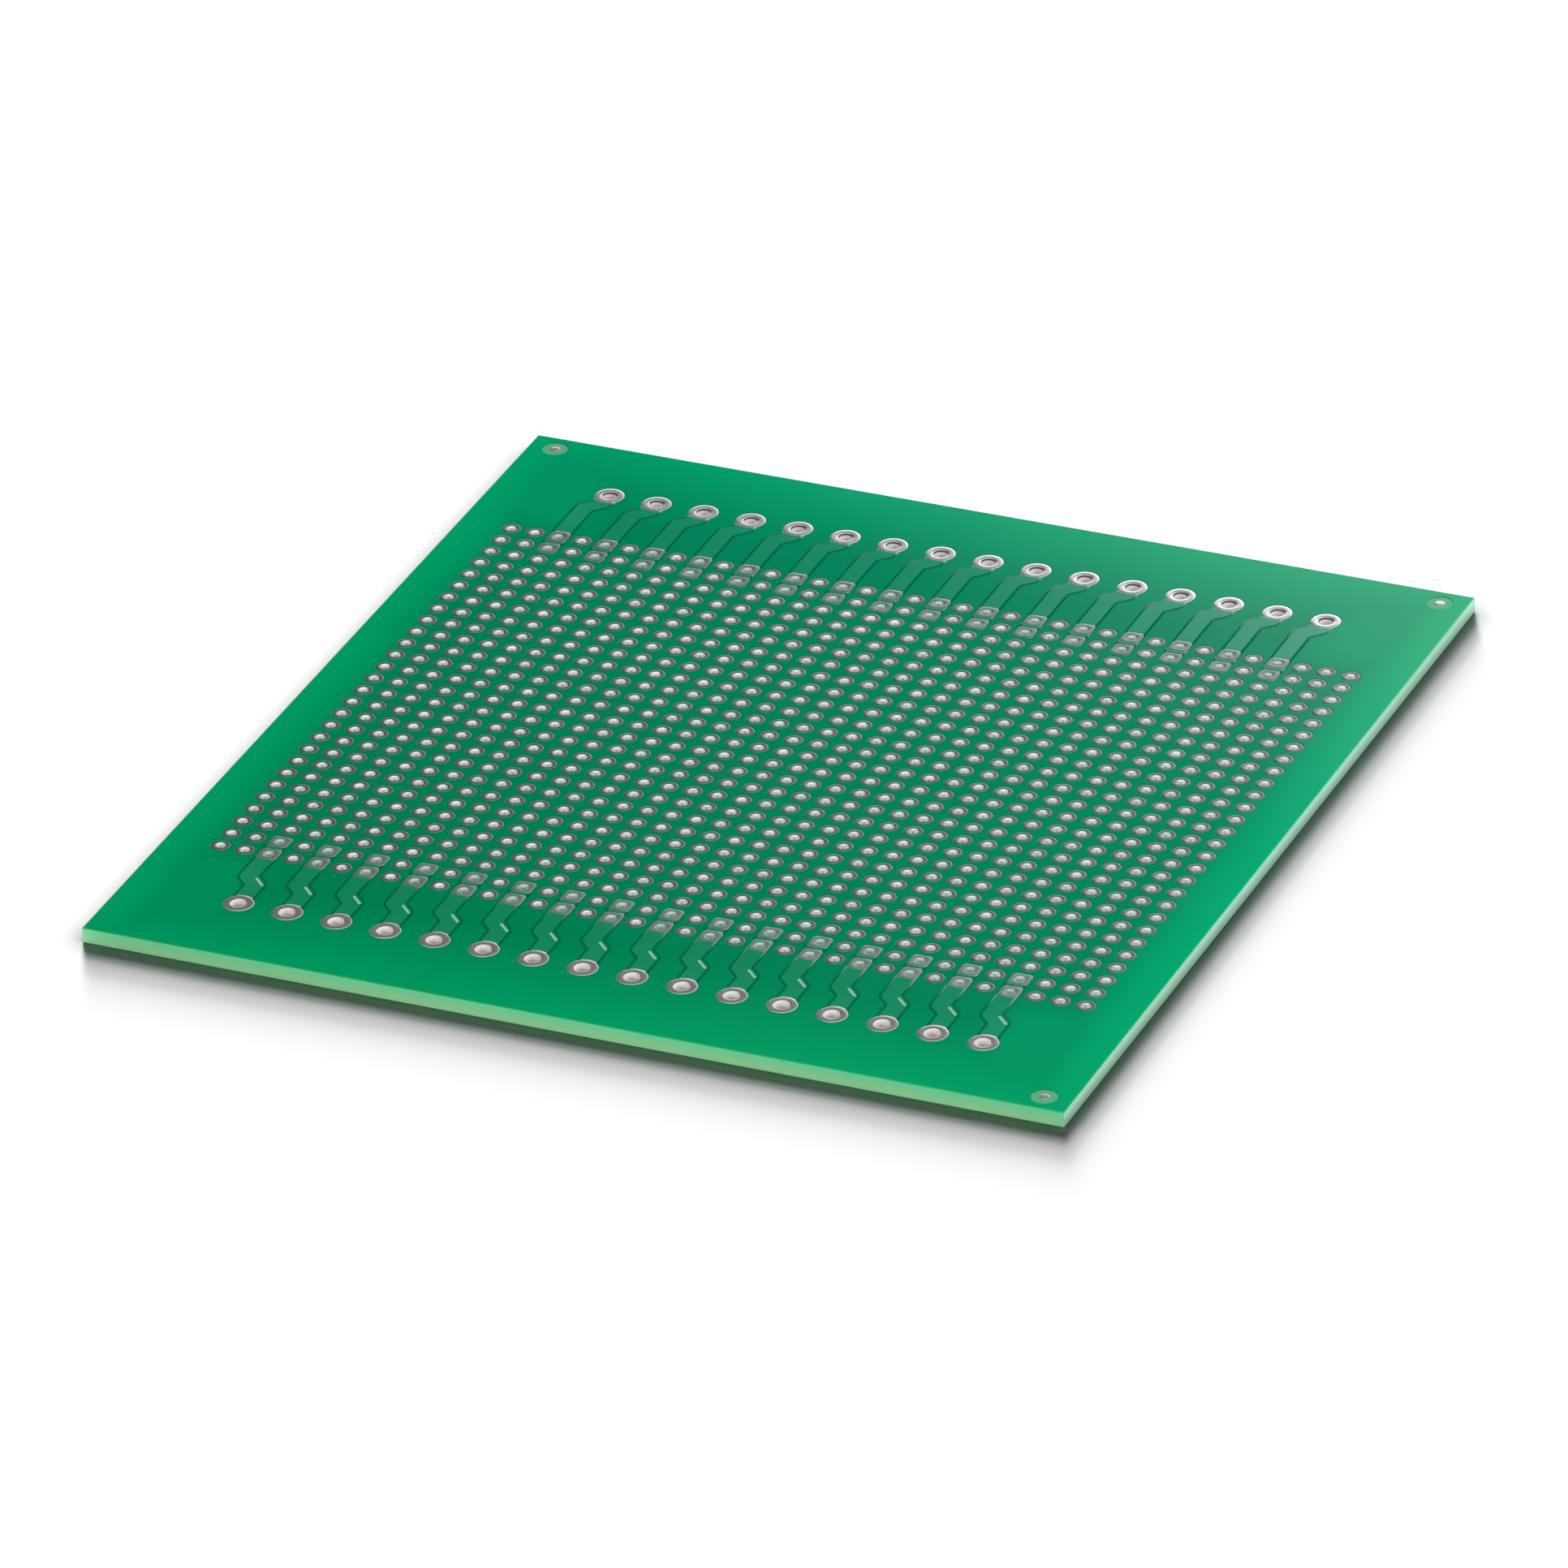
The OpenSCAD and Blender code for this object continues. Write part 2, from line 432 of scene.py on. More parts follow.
def add_track(mesh, path):
    """Adds a bar with sloping sides along the path, closed at both ends."""
    points, faces, slots = mesh
    half = TRACK_W / 2
    edges = [(half, LAMINATE_TOP), (half - ETCH_SLOPE, TRACK_TOP),
             (-half + ETCH_SLOPE, TRACK_TOP), (-half, LAMINATE_TOP)]
    first, length = len(points), len(path)
    for offset, height in edges:
        line = [mitre(path, number, offset) for number in range(length)]
        points.extend((point.x, point.y, height) for point in line)
    for edge in range(4):
        here, after = first + edge * length, first + (edge + 1) % 4 * length
        for step in range(length - 1):
            faces.append((here + step, after + step, after + step + 1, here + step + 1))
    faces.append(tuple(first + edge * length for edge in (3, 2, 1, 0)))
    faces.append(tuple(first + edge * length + length - 1 for edge in range(4)))
    slots.extend([0] * (len(faces) - len(slots)))


def near_mouth(place):
    """1 near the mouth of a hole, and 0 deep in it."""
    return eased(part_of(place, "Z"), LAND_TOP - PAINTED_LIGHT_DEPTH, LAND_TOP - PAINTED_SHADE_DEPTH)


# One tin, given lighter or darker for each side and each group of lands and holes: painted light
# and shade that stand in for the reflections each group gets.
terminal_tin = {
    "front": make_tin_finish("tin_on_front_lands_painted_light",
                             srgb(214, 214, 212), srgb(232, 232, 229),
                             metallic=0.8, rough=0.18),
    "back": make_tin_finish("tin_on_back_lands_painted_lighter",
                            srgb(226, 226, 225), srgb(244, 244, 242),
                            metallic=0.74, rough=0.16),
}
terminal_bore = {
    "front": make_tin_finish("tin_in_front_holes_painted_light",
                             srgb(240, 234, 224), srgb(252, 246, 238),
                             metallic=0.5, rough=0.4),
    # Painted shade near the mouth of the hole, painted reflection deeper down.
    "back": make_tin_finish("tin_in_back_holes_painted_shade_and_light",
                            srgb(254, 250, 244), srgb(74, 70, 68),
                            metallic=0.25, rough=0.4, shares=near_mouth),
}
joined_tin = {
    "front": make_tin_finish("level_tin_on_front_pads",
                             srgb(146, 169, 156), srgb(174, 197, 184),
                             metallic=0.7, rough=0.26),
    "back": make_tin_finish("level_tin_on_back_pads",
                            srgb(126, 148, 136), srgb(152, 174, 162),
                            metallic=0.7, rough=0.26),
}
joined_bore = make_tin_finish("tin_in_joined_holes",
                              srgb(190, 208, 198), srgb(204, 222, 212),
                              metallic=0.94, rough=0.24)
JOINED_LAND_SLOT, JOINED_BORE_SLOT = 2, 3
joined_outline = squarish(JOINED_W, JOINED_ROUND_R)
terminal_outline = circle(TERMINAL_R, TERMINAL_STEPS)
for side, way in SIDE.items():
    mesh = ([], [], [])
    outwards = Vector((0, way))
    for terminal in range(TERMINALS):
        path = track_path(side, terminal)
        joined_places = [path[0] + outwards * PITCH * number for number in range(JOINED)]
        for joined_place in joined_places:
            add_pad(mesh, joined_place, joined_outline, HOLE_R,
                    JOINED_LAND_SLOT, JOINED_BORE_SLOT)
        add_pad(mesh, path[-1], terminal_outline, TERMINAL_HOLE_R)
        clear = outwards * CLEAR_OF_HOLE
        for near, far in zip(joined_places, joined_places[1:]):
            add_track(mesh, [near + clear, far - clear])
        last = path[-1] - outwards * CLEAR_OF_TERMINAL
        add_track(mesh, [joined_places[-1] + clear, path[1], path[2], last])
    replaced = [f"{side}_link_{terminal + 1}" for terminal in range(TERMINALS)]
    finishes = [terminal_tin[side], terminal_bore[side], joined_tin[side], joined_bore]
    make_piece(side + "_terminals", mesh, finishes, replaced)


# ---------------------------------------------------------------------------
# Corner marks
# Three dots of bare tinned copper, each in a round window of the mask. A placing
# machine finds the board by them. The front left corner has none.
# ---------------------------------------------------------------------------

MARK_R = 0.5 * MM
MARK_WINDOW_R = 1.3 * MM
MARK_IN_X, MARK_IN_Y = 2.8 * MM, 2.2 * MM
MARK_STEPS = 24
mark_x = BOARD_W / 2 - MARK_IN_X
mark_y = BOARD_D / 2 - MARK_IN_Y
MARKS = [(-mark_x, mark_y), (mark_x, mark_y), (mark_x, -mark_y)]

# A dot from its foot to its crown: share of its radius, and height in land thicknesses.
DOT = [(1.0, 0.0), (1.0, 0.6), (0.9, 0.9), (0.6, 1.1), (0.25, 1.15)]
points, faces = [], []
for x, y in MARKS:
    first = len(points)
    for share, height in DOT:
        for angle, radius in circle(MARK_R * share, MARK_STEPS):
            points.append((x + radius * math.cos(angle), y + radius * math.sin(angle),
                           LAMINATE_TOP + LAND_T * height))
    for ring in range(len(DOT) - 1):
        here = first + ring * MARK_STEPS
        after = here + MARK_STEPS
        for step in range(MARK_STEPS):
            turn = (step + 1) % MARK_STEPS
            faces.append((here + step, here + turn, after + turn, after + step))
    crown = first + (len(DOT) - 1) * MARK_STEPS
    faces.append(tuple(crown + step for step in range(MARK_STEPS)))
    faces.append(tuple(first + step for step in reversed(range(MARK_STEPS))))
make_piece("corner_dots", (points, faces, [0] * len(faces)), [terminal_tin["front"]],
           ["corner_marks"])


# ---------------------------------------------------------------------------
# Solder mask
# A film of green epoxy ink, printed over both sides and cured glossy, with a window
# round every land. On top it runs over the tracks as low soft ridges.
# ---------------------------------------------------------------------------

MASK_TOP = LAND_TOP
MASK_GAP = 0.05 * MM
LIP = 0.03 * MM
LIP_DROP = 0.015 * MM
EDGE_LIP = 0.09 * MM
EDGE_DROP = 0.035 * MM
RIDGE_RISE = 0.03 * MM
RIDGE_FOOT = TRACK_W / 2 + 0.32 * MM
RIDGE_SHOULDER = TRACK_W / 2 + 0.02 * MM

# On each front sidestep a strip of the coat leans to the back right and catches the
# light. It is measured from the start of the sidestep and from the track's middle.
BROW_START, BROW_END = 0.65 * MM, 2.33 * MM
BROW_IN, BROW_OUT = 0.39 * MM, 0.67 * MM
BROW_LEAN = 20

# Where the coat is painted lighter, measured from the middle of the board: painted light that
# stands in for light coming up through the laminate near its edges, and painted shade among the
# copper, where less comes through.
SIDE_FADE = (42 * MM, 49.5 * MM)
END_FADE = (37 * MM, 59 * MM)
CORNER_FADE_X = (34 * MM, 42 * MM)
CORNER_FADE_Y = (33 * MM, 39 * MM)
CORNER_SHARE = 0.55

# Towards the back right the coat is painted bluer: a painted tint of cooler light from that
# side.
BLUER = 1.22
BLUER_FADE = (-40 * MM, 40 * MM)

# Its colour varies in broad clouds and a fine speckle, and its face is faintly wavy.
CLOUDS, SPECKLE = 0.24, 0.16
WAVE_DEPTH = 0.006 * MM
GLOSSIEST, GLOSS_VARIES = 0.09, 0.06


# The colour under that painted cooler light.
def bluer(colour):
    red, green, blue, alpha = colour
    return (red, green, blue * BLUER, alpha)


def wavy(place):
    """The faint waves in which the ink cured."""
    return relief(grain(place, 1500.0), WAVE_DEPTH, 0.35)


def leaning(place):
    """A face that falls away to the back right."""
    x = part_of(place, "X")
    slope = math.tan(math.radians(BROW_LEAN)) / math.sqrt(2)
    return relief((x + x.other("Y")) * -slope, 1.0, 1.0)


def make_mask_finish(name, field, margin, specular=0.12, face=wavy):
    """Green over glass cloth: the first colour among the copper, the second at the edges; the
    change between them is painted light.
    """
    finish = new_finish(name, Specular_IOR_Level=specular)
    place = place_on(finish)
    x = part_of(place, "X")
    y = x.other("Y")
    off_x, off_y = x.math("ABSOLUTE"), y.math("ABSOLUTE")
    edge_share = eased(off_x, *SIDE_FADE).math("MAXIMUM", eased(off_y, *END_FADE))
    corner_share = eased(off_x, *CORNER_FADE_X) * eased(off_y, *CORNER_FADE_Y) * CORNER_SHARE
    clouds_here = grain(place, 55.0, 3.0) * CLOUDS - CLOUDS / 2
    uneven_here = clouds_here + grain(place, 2600.0) * SPECKLE - SPECKLE / 2
    share = (edge_share.math("MAXIMUM", corner_share) + uneven_here).math("MAXIMUM", 0.0)
    near_colour = blend(share, field, margin)
    far_colour = blend(share, bluer(field), bluer(margin))
    far_share = eased(x * 0.8 + y, *BLUER_FADE)
    feed(finish, "Base Color", blend(far_share, near_colour, far_colour))
    feed(finish, "Roughness", grain(place, 300.0, 3.0) * GLOSS_VARIES + GLOSSIEST)
    feed(finish, "Normal", face(place))
    return finish


open_mask = make_mask_finish("green_mask", srgb(0, 129, 79), srgb(0, 159, 95))
over_copper = make_mask_finish("green_mask_over_copper",
                               srgb(22, 136, 89), srgb(40, 154, 106), specular=0.5)
# The rim at the cut is painted pale: partly thin ink over the edge, partly a painted highlight
# where the rounded rim catches the light.
cut_mask = make_mask_finish("green_mask_at_the_cut", srgb(58, 190, 124), srgb(58, 190, 124))
# Beside the tracks the coat is darker: partly thicker ink beside the copper, partly painted
# shade along the tracks' sloping sides.
thick_and_shaded_mask = make_mask_finish("thick_green_mask_with_painted_shade",
                              srgb(0, 106, 66), srgb(0, 120, 74), specular=0.4)
# The leaning strip is also painted paler than the rest of the coat over the copper: a partly
# painted highlight.
brow_mask = make_mask_finish("leaning_green_mask_over_copper",
                             srgb(37, 147, 100), srgb(51, 166, 119), specular=0.5,
                             face=leaning)
MASK_FINISHES = [open_mask, over_copper, cut_mask, thick_and_shaded_mask, brow_mask]
OPEN_SLOT, COPPER_SLOT, CUT_SLOT, THICK_AND_SHADED_SLOT, BROW_SLOT = range(len(MASK_FINISHES))

# Every window has its middle, its outline at the outer edge of its lip, and its radius.
windows = []
for column in range(COLUMNS):
    for row in range(ROWS):
        centre = Vector((column_x(column), row_y(row)))
        if is_joined(column, row):
            grown = squarish(JOINED_W + 2 * (MASK_GAP + LIP), JOINED_ROUND_R + MASK_GAP + LIP)
            windows.append((centre, grown, JOINED_W / 2 + MASK_GAP))
        else:
            radius = PAD_R + MASK_GAP
            windows.append((centre, circle(radius + LIP, ROUND_STEPS), radius))
for way in SIDE.values():
    for terminal in range(TERMINALS):
        centre = Vector((terminal_x(terminal), way * TERMINAL_Y))
        radius = TERMINAL_R + MASK_GAP
        windows.append((centre, circle(radius + LIP, TERMINAL_STEPS), radius))
for mark in MARKS:
    windows.append((Vector(mark), circle(MARK_WINDOW_R + LIP, MARK_STEPS), MARK_WINDOW_R))

# The sheet is drawn flat, in millimetres: its outline, its windows, the foot and
# shoulder lines of the ridges, and the strips that lean. The drawing is then meshed
# between those lines. Points closer than SAME_POINT become one. A bend with a sine
# below STRAIGHT counts as none, and the outside of any other is rounded in steps.
SQUARE = ((-1, -1), (1, -1), (1, 1), (-1, 1))
ALL_TRIANGLES = 0
SAME_POINT = 1e-6
STRAIGHT = 1e-6
BEND_STEPS = 3
SHEET = 0
flat_points, flat_lines, flat_shapes = [], [], []


def draw(line, closed):
    """Adds a line to the drawing. A closed one is a shape: the sheet, or a window in it."""
    numbers = range(len(flat_points), len(flat_points) + len(line))
    flat_points.extend(point / MM for point in line)
    if closed:
        flat_shapes.append(list(numbers))
    else:
        flat_lines.extend(zip(numbers, numbers[1:]))


def beside(path, offset):
    """The line at that distance to the left of a path, round where it turns away."""
    line = []
    for number, point in enumerate(path):
        left_before, left_after = lefts(path, number)
        turn = left_before.cross(left_after)
        if abs(turn) < STRAIGHT:
            line.append(point + left_after * offset)
        elif turn * offset > 0:
            line.append(mitre(path, number, offset))
        else:
            for step in range(BEND_STEPS + 1):
                out = left_before.lerp(left_after, step / BEND_STEPS).normalized()
                line.append(point + out * offset)
    return line


def sidestep_axes(path):
    """The directions along the sidestep of a track and to its left."""
    along = (path[2] - path[1]).normalized()
    return along, Vector((-along.y, along.x))


inner_w, inner_d = BOARD_W / 2 - EDGE_LIP, BOARD_D / 2 - EDGE_LIP
draw([Vector((x * inner_w, y * inner_d)) for x, y in SQUARE], True)
for centre, outline, _ in windows:
    draw([centre + Vector((radius * math.cos(angle), radius * math.sin(angle)))
          for angle, radius in outline], True)

# The front paths come first, then the back ones.
paths = [track_path(side, terminal) for side in SIDE for terminal in range(TERMINALS)]
for path in paths:
    for offset in (RIDGE_FOOT, RIDGE_SHOULDER, -RIDGE_SHOULDER, -RIDGE_FOOT):
        draw(beside(path, offset), False)
brow_corners = [(BROW_START, BROW_IN), (BROW_END, BROW_IN),
                (BROW_END, BROW_OUT), (BROW_START, BROW_OUT)]
for path in paths[:TERMINALS]:
    along, out = sidestep_axes(path)
    draw([path[1] + along * reach + out * offset
          for reach, offset in brow_corners + brow_corners[:1]], False)
flat_points, _, triangles, _, _, shapes_of = geometry.delaunay_2d_cdt(
    flat_points, flat_lines, flat_shapes, ALL_TRIANGLES, SAME_POINT, True)
flat = [point * MM for point in flat_points]
kept = [triangle for triangle, shapes in zip(triangles, shapes_of) if list(shapes) == [SHEET]]

# The windows, sorted into squares of one pitch to find the nearest quickly.
windows_near = {}
for window in windows:
    cell = (round(window[0].x / PITCH), round(window[0].y / PITCH))
    windows_near.setdefault(cell, []).append(window)

# A distance too small to matter, and one longer than any on the board.
HAIR = 1e-9
FAR = 1.0


def at_board_edge(point):
    """Whether a point of the drawing lies on the outline of the sheet."""
    return abs(point.x) > inner_w - HAIR or abs(point.y) > inner_d - HAIR


def rim_foot(point):
    """Where the rounded rim at this point of the drawing ends, and how far it drops."""
    if at_board_edge(point):
        grown = Vector((point.x * BOARD_W / 2 / inner_w, point.y * BOARD_D / 2 / inner_d))
        return grown, EDGE_DROP
    across, up = round(point.x / PITCH), round(point.y / PITCH)
    near = [window for i in (-1, 0, 1) for j in (-1, 0, 1)
            for window in windows_near.get((across + i, up + j), ())]
    centre, _, radius = min(near, key=lambda window: abs((window[0] - point).length - window[2]))
    return centre + (point - centre) * (radius / (radius + LIP)), LIP_DROP


def nearest_terminal(point):
    """The number of the terminal whose track is about nearest."""
    return round((point.x + COLUMN_SHIFT / 2) / TERMINAL_PITCH + (TERMINALS - 1) / 2)


def from_track(point):
    """Distance from the middle of the nearest track."""
    nearest = FAR
    if abs(point.y) < LAST_ROW_Y - JOINED * PITCH:
        return nearest
    guess = nearest_terminal(point)
    for terminal in range(max(0, guess - 1), min(TERMINALS, guess + 2)):
        path = paths[terminal if point.y < 0 else terminal + TERMINALS]
        for start, end in zip(path, path[1:]):
            _, share = geometry.intersect_point_line(point, start, end)
            on_track = start.lerp(end, min(max(share, 0.0), 1.0))
            nearest = min(nearest, (point - on_track).length)
    return nearest


def on_brow(point):
    """Whether a point lies on the leaning strip of a front sidestep."""
    if point.y > 0:
        return False
    path = paths[min(max(nearest_terminal(point), 0), TERMINALS - 1)]
    along, out = sidestep_axes(path)
    reach = point - path[1]
    return BROW_START < reach.dot(along) < BROW_END and BROW_IN < reach.dot(out) < BROW_OUT


def ridge(away):
    """How much of the ridge's height a point at that distance from a track has."""
    return min(max((RIDGE_FOOT - away) / (RIDGE_FOOT - RIDGE_SHOULDER), 0.0), 1.0)


def mask_slot(point):
    """The number of the finish at a point of the top face."""
    away = from_track(point)
    if on_brow(point):
        return BROW_SLOT
    if away < RIDGE_FOOT:
        return THICK_AND_SHADED_SLOT if away > RIDGE_SHOULDER else COPPER_SLOT
    return OPEN_SLOT


# An edge of only one triangle is part of a rim.
uses = {}
for triangle in kept:
    for start, end in zip(triangle, triangle[1:] + triangle[:1]):
        uses.setdefault((min(start, end), max(start, end)), []).append((start, end))
rims = [both[0] for both in uses.values() if len(both) == 1]
used = sorted({corner for triangle in kept for corner in triangle})
on_rim = {corner for rim in rims for corner in rim}

points, top_of, rim_of, under_of = [], {}, {}, {}
for corner in used:
    spot, raised = flat[corner], ridge(from_track(flat[corner]))
    top_of[corner] = len(points)
    points.append((spot.x, spot.y, MASK_TOP + RIDGE_RISE * raised))
    if corner in on_rim:
        spot, drop = rim_foot(spot)
        rim_of[corner] = len(points)
        points.append((spot.x, spot.y, MASK_TOP + RIDGE_RISE * raised - drop))
    under_of[corner] = len(points)
    points.append((spot.x, spot.y, LAMINATE_TOP + LAND_T * raised))

faces, slots, smooth = [], [], []
for triangle in kept:
    slot = mask_slot((flat[triangle[0]] + flat[triangle[1]] + flat[triangle[2]]) / 3)
    faces.append(tuple(top_of[corner] for corner in triangle))
    faces.append(tuple(under_of[corner] for corner in reversed(triangle)))
    slots.extend((slot, OPEN_SLOT))
    smooth.extend((slot == THICK_AND_SHADED_SLOT, False))
for start, end in rims:
    faces.append((top_of[end], top_of[start], rim_of[start], rim_of[end]))
    faces.append((rim_of[end], rim_of[start], under_of[start], under_of[end]))
    outer = at_board_edge(flat[start])
    slots.extend([CUT_SLOT if outer else OPEN_SLOT] * 2)
    smooth.extend((True, True))
mask_top = make_piece("mask_top", (points, faces, slots), MASK_FINISHES,
                      ["solder_mask_top"])
mask_top.data.polygons.foreach_set("use_smooth", smooth)
mask_top.data.update()
dress("solder_mask_bottom", open_mask)


# ---------------------------------------------------------------------------
# Camera
# The board is seen from the front right and from above, through a long lens that is
# turned a little out of level. Its axis passes just beside the middle of the top.
# ---------------------------------------------------------------------------

AZIMUTH, ELEVATION, ROLL = 23.78, 28.85, -1.71
DISTANCE = 1.4714
ASIDE, UP = 0.61 * MM, 2.32 * MM
LENS, FILM_W = 351.6335, 36
NEAREST, FARTHEST = 0.05, 50
scene = bpy.context.scene


def direction(azimuth, elevation):
    """Azimuth runs clockwise from the back of the board, seen from above."""
    a, e = math.radians(azimuth), math.radians(elevation)
    return Vector((math.sin(a) * math.cos(e), math.cos(a) * math.cos(e), math.sin(e)))


ahead = -direction(180 - AZIMUTH, ELEVATION)
level_right = ahead.cross(Vector((0, 0, 1))).normalized()
level_up = level_right.cross(ahead)
roll = math.radians(ROLL)
right = level_right * math.cos(roll) + level_up * math.sin(roll)
up = level_up * math.cos(roll) - level_right * math.sin(roll)
view = bpy.data.cameras.new("view")
view.sensor_width = FILM_W
view.lens = LENS
view.clip_start, view.clip_end = NEAREST, FARTHEST
camera = bpy.data.objects.new("view", view)
scene.collection.objects.link(camera)
camera.matrix_world = Matrix((right, up, -ahead)).transposed().to_4x4()
camera.location = Vector((0, 0, MASK_TOP)) - right * ASIDE - up * UP - ahead * DISTANCE
scene.camera = camera
scene.view_settings.view_transform = "Standard"


# ---------------------------------------------------------------------------
# Table
# The board lies on a plain matt white table top. Its colour is painted darker in the last few
# millimetres beside the board, a painted contact shadow, and stays white under it, where the
# holes look through.
# ---------------------------------------------------------------------------

TABLE_HALF = 6.0
SHADE_REACH = 3 * MM
SHADE_FALL = 1.9
UNDER_IN = 1 * MM
WHITE, BLACK = (1, 1, 1, 1), (0, 0, 0, 1)

table_finish = new_finish("white_table", Roughness=0.9, Specular_IOR_Level=0.0)
openness = Wire.node(table_finish.node_tree, "AmbientOcclusion", {"samples": 4},
                     {"Distance": SHADE_REACH}, "AO")
table_x = part_of(place_on(table_finish), "X")
outside_x = table_x.math("ABSOLUTE") - BOARD_W / 2
outside_y = table_x.other("Y").math("ABSOLUTE") - BOARD_D / 2
under_board = outside_x.math("MAXIMUM", outside_y).math("LESS_THAN", -UNDER_IN)
light_share = openness.math("POWER", SHADE_FALL).math("MAXIMUM", under_board)
feed(table_finish, "Base Color", blend(light_share, BLACK, WHITE))
table_data = bpy.data.meshes.new("table")
table_data.from_pydata(
    [(x * TABLE_HALF, y * TABLE_HALF, cad_low.z) for x, y in SQUARE], [], [(0, 1, 2, 3)])
table_data.materials.append(table_finish)
table = bpy.data.objects.new("table", table_data)
scene.collection.objects.link(table)


# ---------------------------------------------------------------------------
# Lamps
# Three low softboxes from behind on the left light the table alone, so that the
# board's shadow falls forward. One broad lamp above and three small ones close by
# light the board. The world adds a little light, and is white where it is seen.
# ---------------------------------------------------------------------------

WORLD_LEVEL = 0.05


def aim(holder, towards):
    """Turns a lamp so that it faces back along the direction it stands in."""
    holder.rotation_mode = "QUATERNION"
    holder.rotation_quaternion = towards.to_track_quat("Z", "Y")


def lit_by(holder, things):
    """Keeps the light of a lamp to those things. Everything still casts its shadow."""
    lit = bpy.data.collections.new(holder.name + "_lights")
    for thing in things:
        lit.objects.link(thing)
    holder.light_linking.receiver_collection = lit
    holder.visible_glossy = False
    scene.collection.objects.link(holder)


def far_lamp(name, azimuth, elevation, level, width, things):
    """A far softbox: level is what it adds to a white table, width the angle it spans."""
    lamp = bpy.data.lights.new(name, "SUN")
    lamp.energy = level * math.pi / math.sin(math.radians(elevation))
    lamp.angle = math.radians(width)
    holder = bpy.data.objects.new(name, lamp)
    aim(holder, direction(azimuth, elevation))
    lit_by(holder, things)


def near_lamp(name, place_mm, size_mm, level, tint, things):
    """A small softbox close by, turned to the middle of the board, where it adds that level."""
    lamp = bpy.data.lights.new(name, "AREA")
    lamp.color = tint
    holder = bpy.data.objects.new(name, lamp)
    holder.location = Vector(place_mm) * MM
    away = holder.location.length
    lamp.shape, lamp.size = "DISK", size_mm * MM
    lamp.energy = level * math.pi ** 2 * away ** 3 / holder.location.z
    aim(holder, holder.location.normalized())
    lit_by(holder, things)


board = [thing for thing in scene.objects if thing.type == "MESH" and thing != table]
far_lamp("table_low", azimuth=-26, elevation=10, level=0.38, width=12, things=[table])
far_lamp("table_middle", azimuth=-26, elevation=21, level=0.34, width=17, things=[table])
far_lamp("table_high", azimuth=-26, elevation=34, level=0.26, width=20, things=[table])
far_lamp("board_even", azimuth=25, elevation=62, level=0.55, width=70, things=board)
near_lamp("board_back", place_mm=(-60, 200, 160), size_mm=100, level=0.13,
          tint=(0.96, 1.0, 1.3), things=board)
near_lamp("board_right", place_mm=(180, 40, 160), size_mm=100, level=0.25,
          tint=(0.96, 1.0, 1.25), things=board)
near_lamp("board_front", place_mm=(20, -260, 60), size_mm=160, level=0.078,
          tint=(1.0, 1.0, 1.0), things=board)

world = bpy.data.worlds.new("studio")
scene.world = world
world.use_nodes = True
world.node_tree.nodes.clear()
camera_ray = Wire.node(world.node_tree, "LightPath", {}, {}, "Is Camera Ray")
seen = camera_ray + camera_ray.other("Is Glossy Ray") + camera_ray.other("Is Transmission Ray")
world_level = seen.math("MINIMUM", 1.0) * (1 - WORLD_LEVEL) + WORLD_LEVEL
light = Wire.node(world.node_tree, "Background", {}, {"Color": WHITE, "Strength": world_level})
Wire.node(world.node_tree, "OutputWorld", {}, {"Surface": light})


# ---------------------------------------------------------------------------
# Card and wall in the gloss
# The mask and the tin mirror what stands round the board: a card behind it, and a low
# dark wall round its other sides. Both glow by themselves, and only gloss shows them.
# ---------------------------------------------------------------------------

CARD_AWAY = 0.30
CARD_LEFT, CARD_RIGHT, CARD_LOW, CARD_HIGH = -0.40, 0.16, -0.14, 0.40
CARD_FADE = (0.024, 0.066)
CARD_BRIGHT = (1.5, 1.5, 1.5, 1)
WALL_AWAY = 0.32
WALL_LOW, WALL_HIGH = 0.001, 0.22
WALL_START, WALL_END, WALL_STEPS = 12, 284, 20
WALL_DARK = (0.04, 0.04, 0.04, 1)
RISE_FADE = (0.05, WALL_HIGH)
BACK_FADE = (0.21, 0.305)


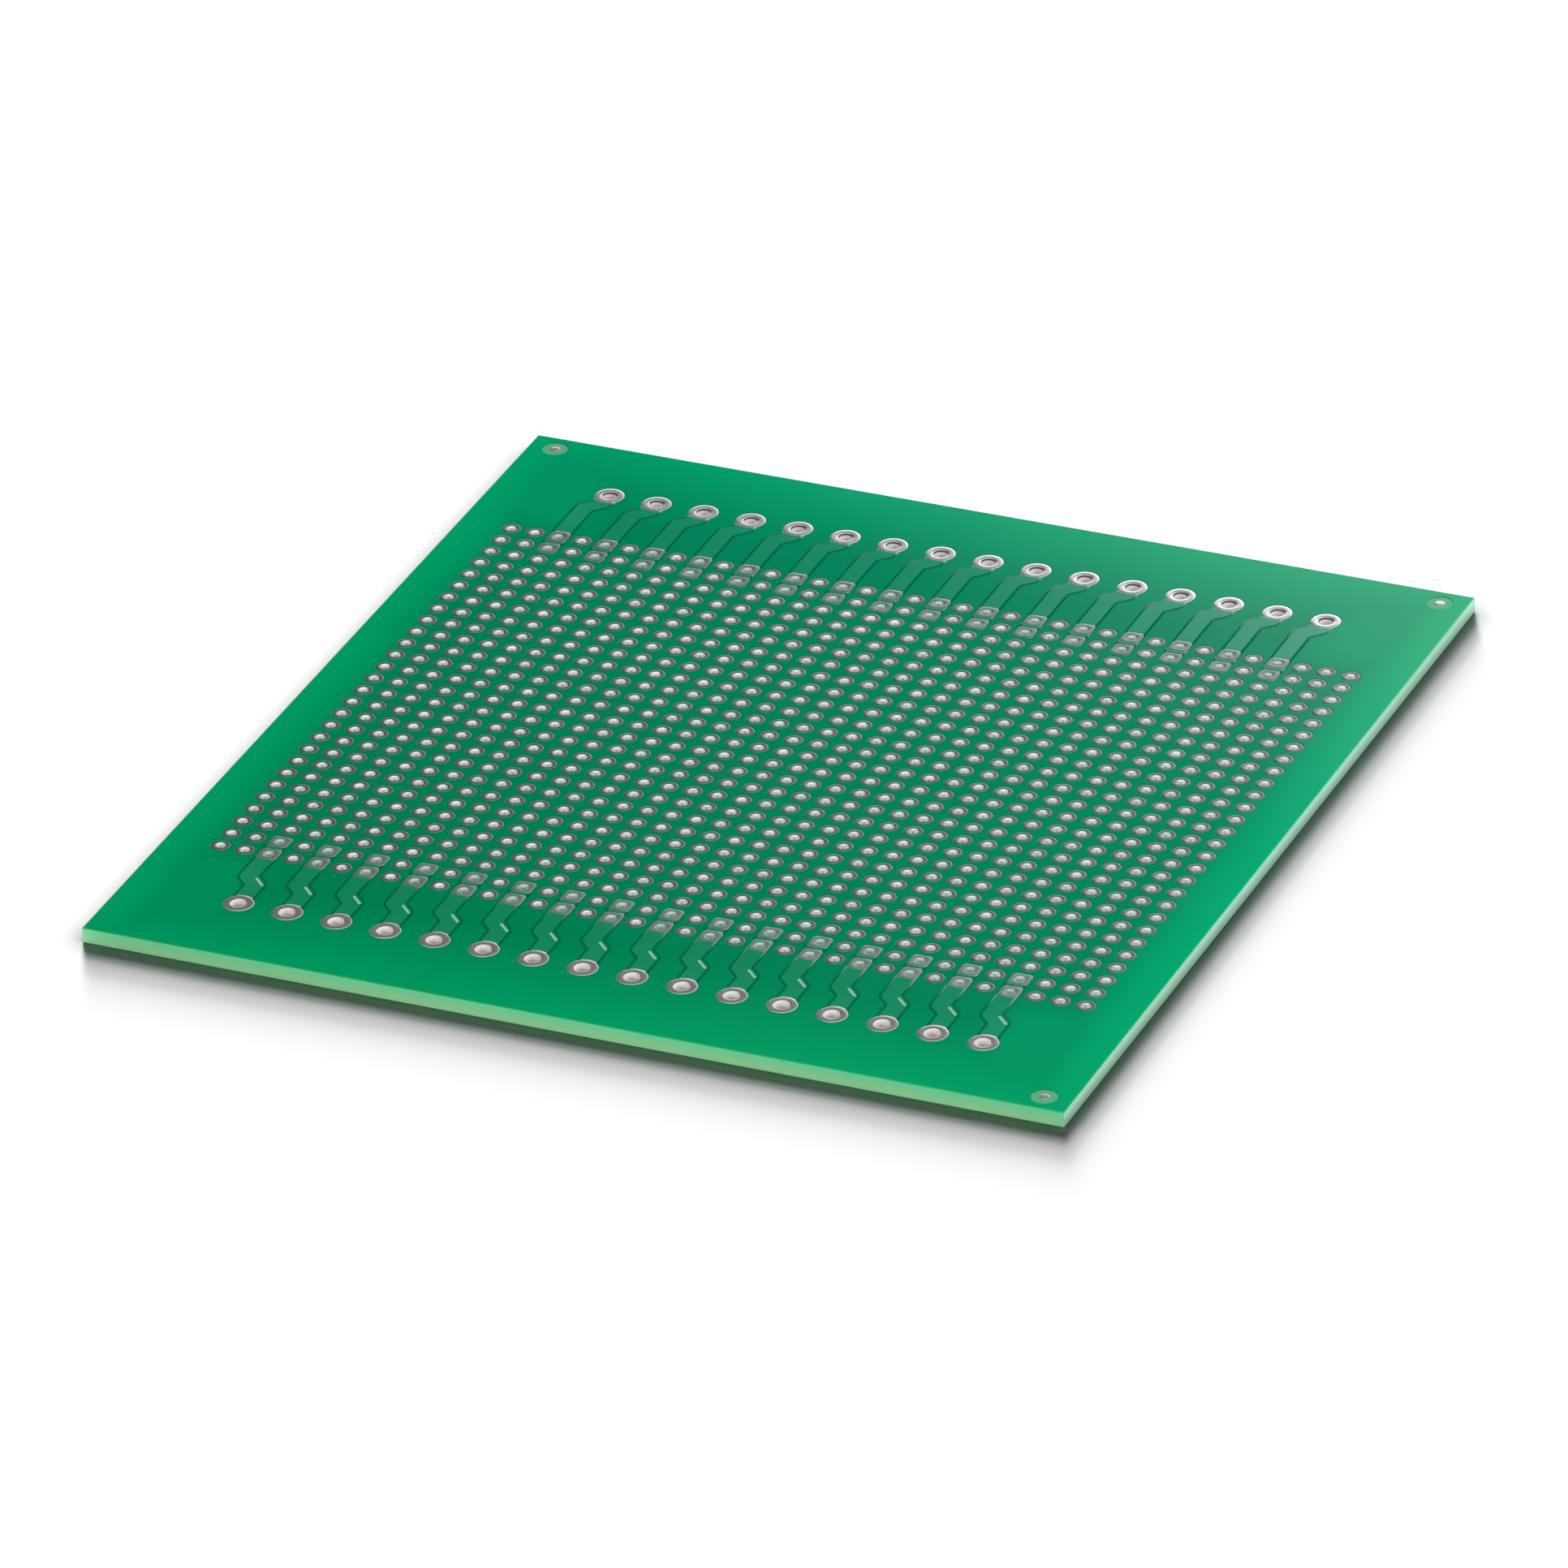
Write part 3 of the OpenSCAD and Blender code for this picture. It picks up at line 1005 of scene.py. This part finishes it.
def only_in_gloss(name, points, faces, finish):
    """A card that lights nothing and throws no shadow: only reflections see it."""
    data = bpy.data.meshes.new(name)
    data.from_pydata(points, [], faces)
    data.materials.append(finish)
    card = bpy.data.objects.new(name, data)
    scene.collection.objects.link(card)
    card.visible_camera = card.visible_diffuse = False
    card.visible_shadow = card.visible_transmission = False
    return card


def glowing(name):
    """A finish that reflects nothing and shows its own colour."""
    return new_finish(name, Specular_IOR_Level=0.0, Emission_Strength=1.0, Base_Color=BLACK)


# The card hangs on the camera's line of sight, as the middle of the board mirrors it.
# It is dark, and fades to white low on the right.
graded = glowing("graded_card")
card_x = part_of(place_on(graded), "X")
card_share = eased(card_x * 0.6 - card_x.other("Y") * 0.8, *CARD_FADE)
feed(graded, "Emission Color", blend(card_share, BLACK, CARD_BRIGHT))
card = only_in_gloss("graded_card", [
    (CARD_LEFT, CARD_LOW, 0), (CARD_RIGHT, CARD_LOW, 0), (CARD_RIGHT, CARD_HIGH, 0),
    (CARD_LEFT, CARD_HIGH, 0)], [(0, 1, 2, 3)], graded)
card_to = direction(-AZIMUTH, ELEVATION)
card_across = Vector((0, 0, 1)).cross(-card_to).normalized()
card_up = (-card_to).cross(card_across)
card.location = card_to * CARD_AWAY
card.rotation_mode = "QUATERNION"
card.rotation_quaternion = Matrix((card_across, card_up, -card_to)).transposed().to_quaternion()

# The wall is paler towards its top, and towards its end behind the board on the right.
wall_finish = glowing("dark_wall")
wall_z = part_of(place_on(wall_finish), "Z")
wall_share = eased(wall_z, *RISE_FADE).math("MAXIMUM", eased(wall_z.other("Y"), *BACK_FADE))
feed(wall_finish, "Emission Color", blend(wall_share, WALL_DARK, WHITE))
corners = []
for step in range(WALL_STEPS + 1):
    foot = direction(WALL_START + (WALL_END - WALL_START) * step / WALL_STEPS, 0) * WALL_AWAY
    corners += [(foot.x, foot.y, WALL_LOW), (foot.x, foot.y, WALL_HIGH)]
strips = [(2 * step, 2 * step + 2, 2 * step + 3, 2 * step + 1) for step in range(WALL_STEPS)]
only_in_gloss("dark_wall", corners, strips, wall_finish)
